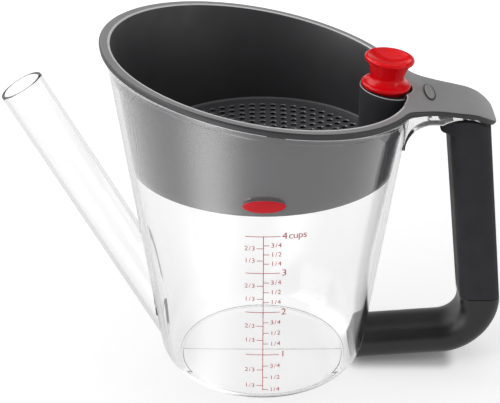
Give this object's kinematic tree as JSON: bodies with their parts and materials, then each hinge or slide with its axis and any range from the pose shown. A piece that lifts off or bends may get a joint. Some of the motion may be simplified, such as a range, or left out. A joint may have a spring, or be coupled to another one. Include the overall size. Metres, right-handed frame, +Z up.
{
  "type": "gravy fat separator",
  "caption": "Clear jug whose spout is fed from the bottom, with a lift-out strainer, a thumb tab, a pull-out stopper and a soft-grip handle.",
  "frame": {"origin": "centre of the jug's flat base, on the surface that it stands on", "axes": "+Z up, +X towards the handle, spout towards -X"},
  "size_m": [0.2419, 0.1484, 0.1742],
  "materials": {
    "clear_plastic": "clear moulded plastic",
    "grey_plastic": "dark grey moulded plastic",
    "black_plastic": "satin black moulded plastic",
    "soft_grip": "soft-touch moulded grip",
    "red_rubber": "glossy red silicone rubber",
    "red_plastic": "glossy red plastic",
    "steel": "bright steel screw"
  },
  "bodies": {
    "jug": {"jug_body": "clear_plastic", "spout_tube": "clear_plastic", "grip_bracket": "clear_plastic", "front_badge": "red_plastic", "handle_frame": "black_plastic", "grip_sleeve": "soft_grip", "bracket_screw": "steel"},
    "strainer": {"strainer_basket": "grey_plastic", "strainer_floor": "grey_plastic"},
    "stopper": {"stopper": "red_rubber"}
  },
  "joints": [
    {"name": "strainer_lift", "type": "slide", "parent": "jug", "child": "strainer", "axis": [0, 0, 1], "range_m": [0, 0.07]},
    {"name": "stopper_pull", "type": "slide", "parent": "strainer", "child": "stopper", "axis": [0.0958, 0, 0.9954], "range_m": [0, 0.025]}
  ]
}
